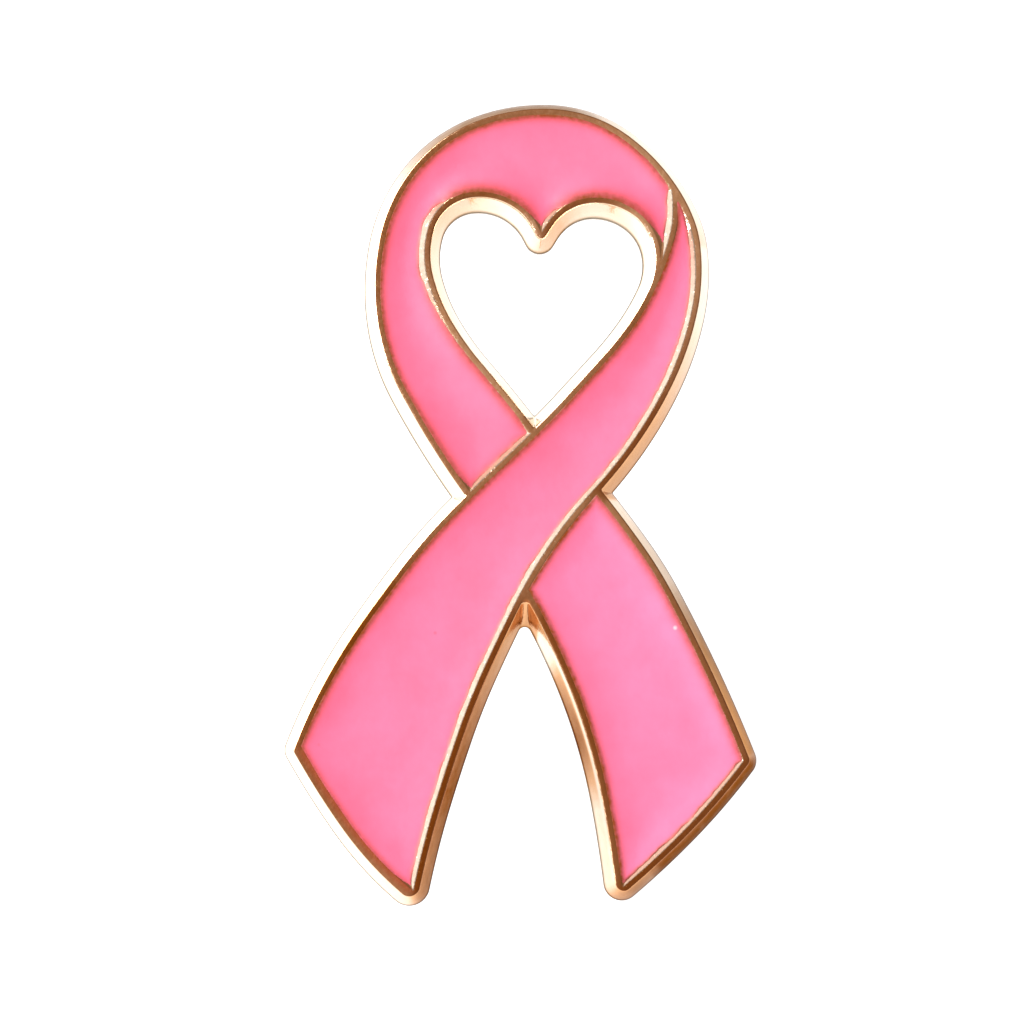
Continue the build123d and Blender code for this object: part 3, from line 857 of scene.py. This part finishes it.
def gold_material(name, rough=(0.13, 0.24), light=(0.86, 0.51, 0.28), warm=(0.82, 0.46, 0.24), pebbled=False, marked=False,
                  spots=()):
    mat, nt, shader = new_material(name)
    mm = mm_coordinates(nt)
    shader.inputs["Metallic"].default_value = 1.0
    slow = noise_of(nt, mm, 1.1, 3.0)
    tone = mixed(nt, ranged(nt, slow, 0.35, 0.65, 0.0, 1.0), light, warm)
    pits = noise_of(nt, mm, 26.0, 2.0, 0.6)
    dark = ranged(nt, pits, 0.66, 0.74, 0.0, 0.55)
    colour = mixed(nt, dark, tone, (0.34, 0.15, 0.06))
    grain = noise_of(nt, mm, 9.0, 4.0, 0.6)
    polish = ranged(nt, grain, 0.3, 0.7, rough[0], rough[1])
    if marked:
        # Painted reflection: where marked, the flat top is made a darker brown, for a darker reflection there.
        colour = mixed(nt, attribute_of(nt, "deep"), colour, (0.37, 0.155, 0.028))
        colour = mixed(nt, attribute_of(nt, "rosy"), colour, (0.86, 0.30, 0.19))
        # Painted reflection of shade: walls that face the shaded floor are made greyish or coppery, and their edge tint
        # darker.
        patch = ranged(nt, noise_of(nt, mm, 2.4, 3.0, 0.6), 0.3, 0.7, 0.93, 1.05)
        grey = math_of(nt, "MULTIPLY", attribute_of(nt, "grey"), patch)
        copper = math_of(nt, "MULTIPLY", attribute_of(nt, "copper"), patch)
        colour = mixed(nt, grey, colour, (0.40, 0.275, 0.195))
        colour = mixed(nt, ranged(nt, copper, 0.0, 0.4, 0.0, 1.0), colour, (0.78, 0.43, 0.215))
        colour = mixed(nt, ranged(nt, copper, 0.4, 1.0, 0.0, 1.0), colour, (0.36, 0.150, 0.078))
        edge = mixed(nt, math_of(nt, "MAXIMUM", grey, copper), (1.0, 1.0, 1.0), (0.43, 0.34, 0.28))
        # Painted shade: a black edge tint on the narrow line along the wall's foot.
        nt.links.new(mixed(nt, attribute_of(nt, "foot"), edge, (0.0, 0.0, 0.0)), shader.inputs["Specular Tint"])
        colour = spotted(nt, colour, spots)
        # Painted highlight and shade on the pool slopes: a dotted, nearly non-metallic band, brown near the flat top,
        # creamy further down and orange in places.
        gaps = ranged(nt, noise_of(nt, mm, 8.0, 3.0, 0.65), 0.32, 0.68, 0.06, 0.95)
        film = ranged(nt, math_of(nt, "SUBTRACT", attribute_of(nt, "film"), gaps), -0.04, 0.12, 0.0, 1.0)
        tint = ranged(nt, noise_of(nt, mm, 5.0, 3.0, 0.6), 0.38, 0.62, 0.0, 1.0)
        cream = mixed(nt, tint, (0.285, 0.250, 0.195), (0.260, 0.205, 0.150))
        cream = mixed(nt, attribute_of(nt, "blush"), cream, (0.270, 0.148, 0.100))
        ragged = ranged(nt, noise_of(nt, mm, 14.0, 2.0, 0.5), 0.3, 0.7, -0.25, 0.25)
        fade = ranged(nt, math_of(nt, "ADD", attribute_of(nt, "cream"), ragged), 0.15, 0.85, 0.0, 1.0)
        colour = mixed(nt, film, colour, mixed(nt, fade, (0.085, 0.045, 0.016), cream))
        nt.links.new(ranged(nt, film, 0.0, 1.0, 1.0, 0.03), shader.inputs["Metallic"])
        polish = math_of(nt, "ADD", polish, math_of(nt, "MULTIPLY", film, 0.35))
    nt.links.new(colour, shader.inputs["Base Color"])
    nt.links.new(polish, shader.inputs["Roughness"])
    soft = bumped(nt, noise_of(nt, mm, 3.2, 2.0, 0.5), 0.6, 0.00002)
    fine = bumped(nt, grain, 0.5, 0.000004, soft)
    if pebbled:
        cell = node(nt, "ShaderNodeTexVoronoi")
        cell.inputs["Scale"].default_value = 7.5
        nt.links.new(mm, cell.inputs["Vector"])
        fine = bumped(nt, cell.outputs["Distance"], 0.7, 0.00003, fine)
    nt.links.new(fine, shader.inputs["Normal"])
    return mat


def enamel_material(name, one=(0.78, 0.110, 0.212), two=(0.80, 0.124, 0.236), spots=()):
    """Pink enamel, painted darker and redder as shade against the metal."""
    mat, nt, shader = new_material(name)
    mm = mm_coordinates(nt)
    cloud = noise_of(nt, mm, 0.55, 4.0, 0.6)
    colour = mixed(nt, ranged(nt, cloud, 0.35, 0.65, 0.0, 1.0), one, two)
    colour = spotted(nt, colour, spots)
    # Painted highlight: the enamel is paler next to the painted band on the slope.
    colour = mixed(nt, attribute_of(nt, "pale"), colour, (0.62, 0.205, 0.20))
    # Painted shade: the enamel turns dark red against the metal, more on some sides than on others.
    thin = ranged(nt, noise_of(nt, mm, 6.0, 3.0, 0.6), 0.3, 0.7, 0.85, 1.12)
    thin = math_of(nt, "MULTIPLY", attribute_of(nt, "thin"), thin)
    colour = mixed(nt, thin, colour, (0.165, 0.033, 0.002))
    nt.links.new(colour, shader.inputs["Base Color"])
    rough = ranged(nt, noise_of(nt, mm, 5.0, 3.0, 0.6), 0.3, 0.7, 0.36, 0.46)
    nt.links.new(rough, shader.inputs["Roughness"])
    shader.inputs["Specular IOR Level"].default_value = 0.40
    wave = bumped(nt, noise_of(nt, mm, 1.6, 2.0, 0.5), 0.5, 0.00002)
    nt.links.new(bumped(nt, noise_of(nt, mm, 14.0, 3.0, 0.7), 0.25, 0.000004, wave), shader.inputs["Normal"])
    return mat


gold = gold_material("rose_gold_plating", light=(0.93, 0.81, 0.66), warm=(0.92, 0.77, 0.59), marked=True)
gold_back = gold_material("rose_gold_back", (0.24, 0.36), (0.78, 0.47, 0.26), (0.74, 0.42, 0.22), pebbled=True)
gold_post = gold_material("post_plating", (0.12, 0.22))
pink_loop = enamel_material("pink_enamel_loop", spots=[(2.84, 3.86, 0.14, (0.80, 0.20, 0.33), 0.5)])
pink_front = enamel_material("pink_enamel_front", (0.78, 0.114, 0.222), (0.81, 0.130, 0.254), spots=[
    (-2.62, -4.03, 0.07, (0.55, 0.07, 0.14), 0.6), (-6.26, -7.54, 0.06, (0.62, 0.09, 0.16), 0.5),
])
pink_back = enamel_material("pink_enamel_back", (0.80, 0.133, 0.266), (0.82, 0.152, 0.302), spots=[
    (4.94, -3.86, 0.085, (0.85, 0.62, 0.66), 0.65),
])

# ---- the struck plate ---------------------------------------------------------------------------------
STEP = 0.06
INNER = 0.155      # where the plateau ends above a pool's slope


def wall_profile(shoulder, bend):
    """(offset, z) from the plateau over the shoulder and down the wall to the back."""
    out = [(-shoulder, 0.0)]
    d, z, theta = -shoulder, 0.0, 0.0
    pieces = [(bend, 66.0, 7), (0.915 / math.radians(10), 76.0, 8), (0.67, 90.0, 5)]
    for radius, end, steps in pieces:
        start = theta
        for i in range(steps):
            to = start + (end - start) * (i + 1) / steps
            a, b = math.radians(theta), math.radians(to)
            d += radius * (math.sin(b) - math.sin(a))
            z -= radius * (math.cos(a) - math.cos(b))
            theta = to
            out.append((d, z))
    scale = (WALL + shoulder) / (out[-1][0] + shoulder)
    out = [(-shoulder + (d + shoulder) * scale, z) for d, z in out]
    out.append((WALL, -THICKNESS + 0.05))
    for k in (30, 60, 90):
        t = math.radians(k)
        out.append((WALL - 0.05 * (1 - math.cos(t)), -THICKNESS + 0.05 - 0.05 * math.sin(t)))
    return out


BEND = 0.08        # rounding between the plateau and the slope


def slope_height(e, steep):
    """Height of the metal at offset e outwards from a pool's outline, where its slope is so many degrees steep."""
    if e >= INNER:
        return 0.0
    run, steep = INNER - e, math.radians(steep)
    if run < BEND * math.sin(steep):
        return -(BEND - math.sqrt(BEND * BEND - run * run))
    z = -BEND * (1 - math.cos(steep)) - (run - BEND * math.sin(steep)) * math.tan(steep)
    if e < -0.19:
        z -= (-0.19 - e) * 4
    return max(z, -POOL_DEPTH)


SLOPE_LEVELS = (INNER, 0.147, 0.139, 0.131, 0.122, 0.112, 0.10, 0.06, 0.02)


plate = Build()
narrow, wide = wall_profile(0.0, 0.060), wall_profile(0.128, 0.205)
outer_counts = counts_for(outer_at(WALL), STEP)
heart_counts = counts_for(heart_at(0.0), STEP)


def wall_rings(shape, counts, line, shoulder):
    """The wall's rings, with a narrow line of painted shade along the foot."""
    top = points_on(shape(0.0), counts)
    faces = facing_of(shape(0.0), counts) + 180
    share = (around(shoulder, faces) * (1 - tone_at(top, "crisp")))[:, None]
    # Painted reflection of shade, read along the edges: coppery and greyish walls, and a darker brown flat top.
    copper, low, grey, deep = (tone_at(top, name) for name in ("copper", "low", "grey", "deep"))
    rings, first = [], None
    for (d, z), (d_wide, z_wide) in zip(narrow, wide):
        xy = points_on(shape(d), counts) * (1 - share) + points_on(shape(d_wide), counts) * share
        level = z * (1 - share[:, 0]) + z_wide * share[:, 0]
        foot = line * max(0.0, min(1.0, (d - WALL + 0.048) / 0.012)) if z > -1.2 else 0.0
        on_wall = max(0.0, min(1.0, -z / 0.012)) * (1.0 if z > -1.3 else 0.5)
        below = max(0.0, min(1.0, (d - 0.09) / 0.05)) * on_wall
        rings.append(plate.add(xy, level, copper=np.maximum(copper * on_wall, low * below), grey=grey * on_wall,
                               deep=deep * max(0.0, 1 + z / 0.03), foot=foot))
        first = xy if first is None else first
    return rings, first


# The third number is how strong the painted shade line along the foot is.
outer_rings, outer_first = wall_rings(outer_at, outer_counts, 0.85, OUTER_SHOULDER)
heart_rings, heart_first = wall_rings(heart_at, heart_counts, 0.9, HEART_SHOULDER)
for rings in (outer_rings, heart_rings):
    for one, two in zip(rings[:-1], rings[1:]):
        plate.strip(one, two)
flat_xy = {}
pool_rings = {}
for name, pool in (("loop", loop_pool), ("front", front_pool), ("back", back_pool)):
    counts = counts_for(pool_at(pool, 0.1), STEP)
    rings = []
    for e in SLOPE_LEVELS:
        shape = pool_at(pool, e)
        xy = points_on(shape, counts)
        flat_xy[name, len(rings)] = xy
        steep = around(STEEPNESS, facing_of(shape, counts))
        flat_part = max(0.0, min(1.0, 1 - (INNER - e) / 0.10))
        # The painted slope band, its creamy highlight and orange tint, by the way each slope faces.
        rings.append(plate.add(xy, [slope_height(e, s) for s in steep], film=film_over(name, shape, counts, e),
                               cream=cream_over(name, facing_of(shape, counts), e),
                               blush=around(BLUSH[name], facing_of(shape, counts)), deep=tone_at(xy, "deep") * flat_part,
                               rosy=tone_at(xy, "rosy") * flat_part))
    for one, two in zip(rings[:-1], rings[1:]):
        plate.strip(one, two, flip=True)
    pool_rings[name] = rings
    rim = flat_xy[name, len(rings) - 1]
    inner = Basin(rim, SLOPE_LEVELS[-1])
    extra, e = inner.points((0.035, 0.07, 0.105, 0.14, 0.175, 0.21, 0.24, 0.30), 0.25, 0.33, 21)
    steep = inner.blend(extra, STEEPNESS, 0.05)
    here = plate.add(extra, [slope_height(v, s) for v, s in zip(e, steep)], film=inner.blend(extra, FILM[name], 0.05),
                     blush=inner.blend(extra, BLUSH[name], 0.05), cream=1.0)
    plate.patch(triangles_between([rim], extra), np.concatenate([rings[-1], here]))

top_rings = [outer_first, heart_first]
top_rings += [flat_xy[name, 0] for name in ("loop", "front", "back")]
top_index = np.concatenate([outer_rings[0], heart_rings[0]] + [pool_rings[name][0] for name in ("loop", "front", "back")])
plate.patch(triangles_between(top_rings), top_index)

SEAT_POINTS = 96
seat_turn = np.linspace(0, 2 * math.pi, SEAT_POINTS, endpoint=False)


def seat_circle(r):
    return np.column_stack([POST_X + r * np.cos(seat_turn), POST_Y + r * np.sin(seat_turn)])


seat_r = PAD_RADIUS + GAP
seat = [
    plate.add(seat_circle(seat_r + 0.02), -THICKNESS),
    plate.add(seat_circle(seat_r), -THICKNESS + 0.02),
    plate.add(seat_circle(seat_r), -THICKNESS + PAD_SEAT),
]
plate.strip(seat[0], seat[1], 1, flip=True)
plate.strip(seat[1], seat[2], 1, flip=True)
plate.patch(triangles_between([seat_circle(seat_r)]), seat[2], 1, flip=True)
back_rings = [points_on(outer_at(narrow[-1][0]), outer_counts), points_on(heart_at(narrow[-1][0]), heart_counts), seat_circle(seat_r + 0.02)]
back_index = np.concatenate([outer_rings[-1], heart_rings[-1], seat[0]])
plate.patch(triangles_between(back_rings), back_index, 1, flip=True)
plate_object = plate.object("struck_plate", [gold, gold_back], "gold_plate", "base", sharp=40)


# ---- the enamel fills -----------------------------------------------------------------------------------
MIDDLE = -0.155    # enamel surface far from the metal
REACH = 0.18       # how wide the rise to the metal is


# By facing: how uneven the enamel's outline is.
UNEVEN = [(0, 0.010), (120, 0.012), (135, 0.035), (195, 0.035), (215, 0.018), (230, 0.010)]


def enamel_fill(name, pool_name, pool, seed, material, replaces):
    made = Build()
    outermost = 0.154
    rim_loop = pool_at(pool, outermost)
    counts = counts_for(rim_loop, 0.05)
    rim = points_on(rim_loop, counts)
    inner = Basin(rim, outermost)
    extra, e = inner.points((0.02, 0.04, 0.06, 0.09, 0.12, 0.15, 0.185, 0.22, 0.26, 0.31, 0.37, 0.45), 0.10, 0.50, seed)
    xy = np.vstack([rim, extra])
    e = np.concatenate([np.full(len(rim), outermost), e])
    edge = inner.blend(xy, CONTACT[pool_name], 0.06)
    thin = inner.blend(xy, THIN[pool_name], 0.10)
    films = inner.blend(xy, FILM[pool_name], 0.10)
    fades = inner.blend(xy, THIN_REACH[pool_name], 0.10)
    steep = inner.blend(xy, STEEPNESS, 0.06)
    rough = inner.blend(xy, UNEVEN, 0.06)
    facing = np.degrees(np.arctan2(inner.inward[:, 1], inner.inward[:, 0]))
    reached = around(CONTACT[pool_name], facing)
    line = rim + inner.inward * (outermost - reached)[:, None]
    rise = np.array([slope_height(c, s) for c, s in zip(reached, around(STEEPNESS, facing))]) - MIDDLE
    share = np.hypot(*(np.roll(rim, -1, axis=0) - np.roll(rim, 1, axis=0)).T) / 2 / (2 * REACH)
    lift = []
    for k in range(0, len(xy), 2000):
        part = xy[k : k + 2000]
        w = share * np.exp(-np.hypot(part[:, None, 0] - line[None, :, 0], part[:, None, 1] - line[None, :, 1]) / REACH)
        total = w.sum(axis=1)
        lift.append((w * rise).sum(axis=1) / np.maximum(total, 1e-9) * np.sqrt((1 - np.exp(-1.5 * total)) / (1 - math.exp(-1.5))))
    lift = np.concatenate(lift)
    z, dark, pale = [], [], []
    for (x, y), at, c, up_by, t, fade, s, u, f in zip(xy, e, edge, lift, thin, fades, steep, rough, films):
        c += u * noise.noise(Vector((x * 1.7, y * 1.7, 7.7))) + 0.6 * u * noise.noise(Vector((x * 6.0, y * 6.0, 1.3)))
        c = min(c, outermost - 0.006)
        h = MIDDLE + up_by + 0.008 * noise.noise(Vector((x * 0.9, y * 0.9, 3.1)))
        top_most = slope_height(c, s)
        if at > c - 0.03:
            near = min(1.0, (at - c + 0.03) / 0.03)
            h = h + (top_most - h) * near
        if at > c:
            h = top_most - 0.5 * (at - c)
        z.append(h)
        # Painted shade against the metal, fading inwards.
        dark.append(t * math.exp(-((max(0.0, c - at) / fade) ** 2)))
        # Painted highlight at the enamel's edge, next to the painted slope band.
        pale.append(f * math.exp(-((max(0.0, c - at) / 0.075) ** 2)))
    top = made.add(xy, z, thin=dark, pale=pale)
    made.patch(triangles_between([rim], extra), top)
    low = made.add(rim, -POOL_DEPTH + GAP)
    made.strip(top[: len(rim)], low)
    made.patch(triangles_between([rim]), low, flip=True)
    return made.object(name, [material], "pink_enamel", replaces, sharp=60)


enamel_fill("enamel_fill_loop", "loop", loop_pool, 11, pink_loop, "enamel_loop")
enamel_fill("enamel_fill_front", "front", front_pool, 12, pink_front, "enamel_front_tail")
enamel_fill("enamel_fill_back", "back", back_pool, 13, pink_back, "enamel_back_tail")


# ---- the tack post ---------------------------------------------------------------------------------------
def post_profile():
    """(radius, distance behind the plate's back)."""
    front = -(PAD_SEAT - GAP)
    back = front + PAD_THICKNESS
    out = [(PAD_RADIUS - 0.02, front), (PAD_RADIUS, front + 0.02), (PAD_RADIUS, back - PAD_BEVEL - 0.02)]
    for k in range(1, 7):
        t = math.radians(15 * k)
        out.append((PAD_RADIUS - 0.08 * (1 - math.cos(t)), back - 0.08 + 0.08 * math.sin(t)))
    out.append((SHAFT_RADIUS + SHAFT_FILLET + 0.3, back))
    for k in range(0, 9):
        t = math.radians(90 * k / 8)
        out.append((SHAFT_RADIUS + SHAFT_FILLET * (1 - math.sin(t)), back + SHAFT_FILLET * (1 - math.cos(t))))
    groove = POST_LENGTH - GROOVE_FROM_TIP
    out += [(SHAFT_RADIUS, back + SHAFT_FILLET + (groove - back - SHAFT_FILLET) * f) for f in (0.25, 0.5, 0.75, 0.97)]
    ring = (GROOVE_WIDTH**2 / 4 + GROOVE_DEPTH**2) / (2 * GROOVE_DEPTH)
    for k in range(0, 11):
        s = -GROOVE_WIDTH / 2 + GROOVE_WIDTH * k / 10
        out.append((SHAFT_RADIUS - (math.sqrt(ring**2 - s * s) - (ring - GROOVE_DEPTH)), groove + GROOVE_WIDTH / 2 + s))
    point = math.radians(POINT_ANGLE)
    ball = POST_LENGTH - POINT_RADIUS
    end = ball + POINT_RADIUS * math.sin(point)
    start = end - (SHAFT_RADIUS - POINT_RADIUS * math.cos(point)) / math.tan(point)
    out += [(SHAFT_RADIUS, groove + GROOVE_WIDTH + 0.04), (SHAFT_RADIUS, start - 0.06), (SHAFT_RADIUS - 0.008, start + 0.02)]
    edge = POINT_RADIUS * math.cos(point)
    out += [(SHAFT_RADIUS + (edge - SHAFT_RADIUS) * f, start + (end - start) * f) for f in (0.12, 0.4, 0.7, 1.0)]
    for k in range(1, 6):
        t = point + (math.pi / 2 - point) * k / 6
        out.append((POINT_RADIUS * math.cos(t), ball + POINT_RADIUS * math.sin(t)))
    return out


post = Build()
turns = np.linspace(0, 2 * math.pi, 96, endpoint=False)
profile = post_profile()
rings = []
for r, s in profile:
    rings.append(post.add(np.column_stack([POST_X + r * np.cos(turns), POST_Y + r * np.sin(turns)]), -THICKNESS - s))
for one, two in zip(rings[:-1], rings[1:]):
    post.strip(one, two, 0)
head = post.add([(POST_X, POST_Y)], -THICKNESS - profile[0][1])
tip = post.add([(POST_X, POST_Y)], -THICKNESS - POST_LENGTH)
for i in range(96):
    j = (i + 1) % 96
    post.faces += [(head[0], rings[0][i], rings[0][j]), (tip[0], rings[-1][j], rings[-1][i])]
    post.kinds += [0, 0]
post.object("tack_post", [gold_post], "post_metal", "post", sharp=50)

# ---- floor ------------------------------------------------------------------------------------------------
bpy.ops.mesh.primitive_plane_add(size=1.6, location=(0, 0, 0))
floor = bpy.context.object
floor.name = "floor"
mat, nt, shader = new_material("pale_floor")
mm = mm_coordinates(nt)
tone = noise_of(nt, mm, 0.05, 3.0)
nt.links.new(mixed(nt, tone, (0.18, 0.18, 0.18), (0.20, 0.20, 0.20)), shader.inputs["Base Color"])
shader.inputs["Roughness"].default_value = 0.85
shader.inputs["Specular IOR Level"].default_value = 0.2
shader.inputs["Emission Color"].default_value = (1.0, 1.0, 1.0, 1.0)
origin = point_in_place(0, 0, 0) * 1000
parts = node(nt, "ShaderNodeSeparateXYZ")
nt.links.new(mm, parts.inputs["Vector"])
# Painted light: the floor glows evenly white, and brighter still to the left of the pin.
glow_left = ranged(nt, parts.outputs["X"], origin.x - 1.5, origin.x - 6.0, 0.0, 0.35)
nt.links.new(math_of(nt, "ADD", glow_left, 1.02), shader.inputs["Emission Strength"])
floor.data.materials.append(mat)

# ---- light ------------------------------------------------------------------------------------------------
scene = bpy.context.scene
world = bpy.data.worlds.new("studio")
scene.world = world
world.use_nodes = True
wt = world.node_tree
wt.nodes.clear()
w_out = wt.nodes.new("ShaderNodeOutputWorld")
w_back = wt.nodes.new("ShaderNodeBackground")
wt.links.new(w_back.outputs["Background"], w_out.inputs["Surface"])
w_place = wt.nodes.new("ShaderNodeTexCoord")


def toward(vector, low, high, to_low, to_high):
    """A value that depends on how near the direction of sight is to a vector."""
    dot = wt.nodes.new("ShaderNodeVectorMath")
    dot.operation = "DOT_PRODUCT"
    wt.links.new(w_place.outputs["Generated"], dot.inputs[0])
    dot.inputs[1].default_value = tuple(vector)
    n = wt.nodes.new("ShaderNodeMapRange")
    n.interpolation_type = "SMOOTHSTEP"
    n.inputs["From Min"].default_value = low
    n.inputs["From Max"].default_value = high
    n.inputs["To Min"].default_value = to_low
    n.inputs["To Max"].default_value = to_high
    wt.links.new(dot.outputs["Value"], n.inputs["Value"])
    return n.outputs["Result"]


up_high = toward((0, 0, 1), 0.02, 0.12, 0.0, 1.0)
side = toward((-1, 0, 0), -0.8, 0.4, 0.45, 1.15)
level = mixed(wt, up_high, (0.80, 0.76, 0.71), (0.52, 0.278, 0.155))
wt.links.new(level, w_back.inputs["Color"])
wt.links.new(side, w_back.inputs["Strength"])


def soft_light(name, place, target, size, size_y, power, colour=(1, 1, 1)):
    data = bpy.data.lights.new(name, "AREA")
    data.shape = "RECTANGLE"
    data.size, data.size_y = size, size_y
    data.energy = power
    data.color = colour
    obj = bpy.data.objects.new(name, data)
    obj.location = place
    obj.rotation_mode = "QUATERNION"
    obj.rotation_quaternion = (Vector(target) - Vector(place)).to_track_quat("-Z", "Y")
    obj.visible_camera = False
    scene.collection.objects.link(obj)
    return obj


middle = Vector((0, 0, 0.007))
key_way = direction(math.cos(math.radians(157)) * math.cos(math.radians(37)),
                    math.sin(math.radians(157)) * math.cos(math.radians(37)), math.sin(math.radians(37)))
soft_light("key_left", middle + key_way * 0.22, middle, 0.17, 0.23, 13.6 * math.pi * 0.17 * 0.23, (1.0, 0.985, 0.97))

# ---- camera -----------------------------------------------------------------------------------------------
eye = point_in_place(-3.733, -8.034, 113.41)
aim = point_in_place(-0.205, -0.2205, 0.0)
forward = (aim - eye).normalized()
right = forward.cross(direction(0, 1, 0)).normalized()
up = right.cross(forward)
camera_data = bpy.data.cameras.new("camera")
camera_data.sensor_width = 36.0
camera_data.lens = 3609.77 * 36.0 / 1024
camera_data.clip_start, camera_data.clip_end = 0.005, 10.0
camera = bpy.data.objects.new("camera", camera_data)
scene.collection.objects.link(camera)
camera.matrix_world = Matrix((
    (right.x, up.x, -forward.x, eye.x),
    (right.y, up.y, -forward.y, eye.y),
    (right.z, up.z, -forward.z, eye.z),
    (0, 0, 0, 1),
))
scene.camera = camera
scene.view_settings.view_transform = "Standard"
scene.view_settings.look = "None"

bpy.context.view_layer.update()
